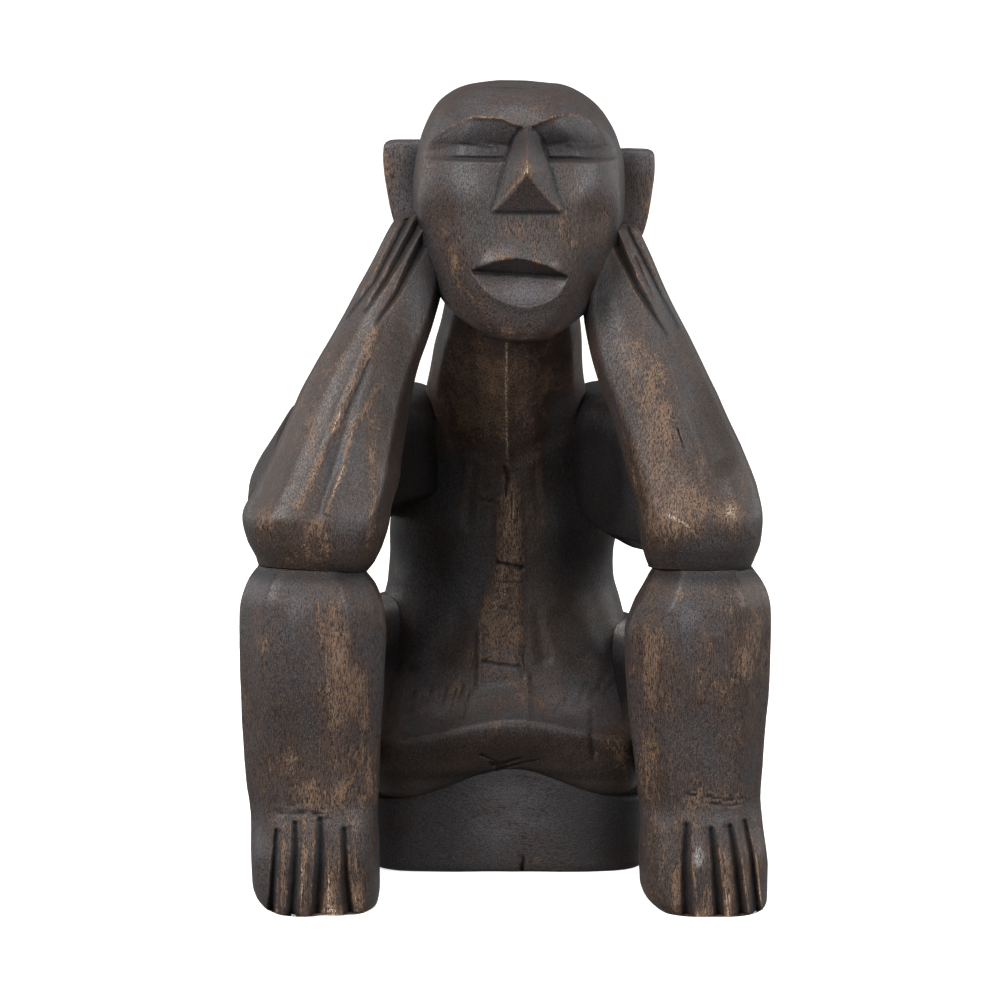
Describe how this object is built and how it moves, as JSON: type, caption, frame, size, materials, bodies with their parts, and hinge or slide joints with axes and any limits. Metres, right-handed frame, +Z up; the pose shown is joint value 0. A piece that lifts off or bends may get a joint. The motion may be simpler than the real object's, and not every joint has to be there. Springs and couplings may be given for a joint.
{
  "type": "carved seated figurine",
  "caption": "Carved dark-stained wooden seated figure, elbows on knees and head held between its hands, that stands on its feet and on a saddle-topped seat block.",
  "frame": {"origin": "on the surface that the figure stands on, under the middle of its bounding box", "axes": "+Z up, the figure faces -Y, its own left side is at +X"},
  "size_m": [0.259, 0.205, 0.4008],
  "materials": {
    "stained_wood": "dark ebonised stain, rubbed back to red-brown wood on edges and ridges, low wax sheen",
    "dowel_wood": "bare turned hardwood"
  },
  "bodies": {
    "root": {"seat_block": "stained_wood", "trunk": "stained_wood", "head": "stained_wood", "right_lower_leg": "stained_wood", "right_thigh": "stained_wood", "right_forearm": "stained_wood", "right_upper_arm": "stained_wood", "right_ear": "stained_wood", "left_lower_leg": "stained_wood", "left_thigh": "stained_wood", "left_forearm": "stained_wood", "left_upper_arm": "stained_wood", "left_ear": "stained_wood", "neck_dowel": "dowel_wood", "seat_dowels": "dowel_wood", "elbow_rest_dowels": "dowel_wood", "shoulder_dowels": "dowel_wood", "elbow_dowels": "dowel_wood", "hip_dowels": "dowel_wood", "knee_dowels": "dowel_wood", "ear_dowels": "dowel_wood"}
  },
  "joints": []
}
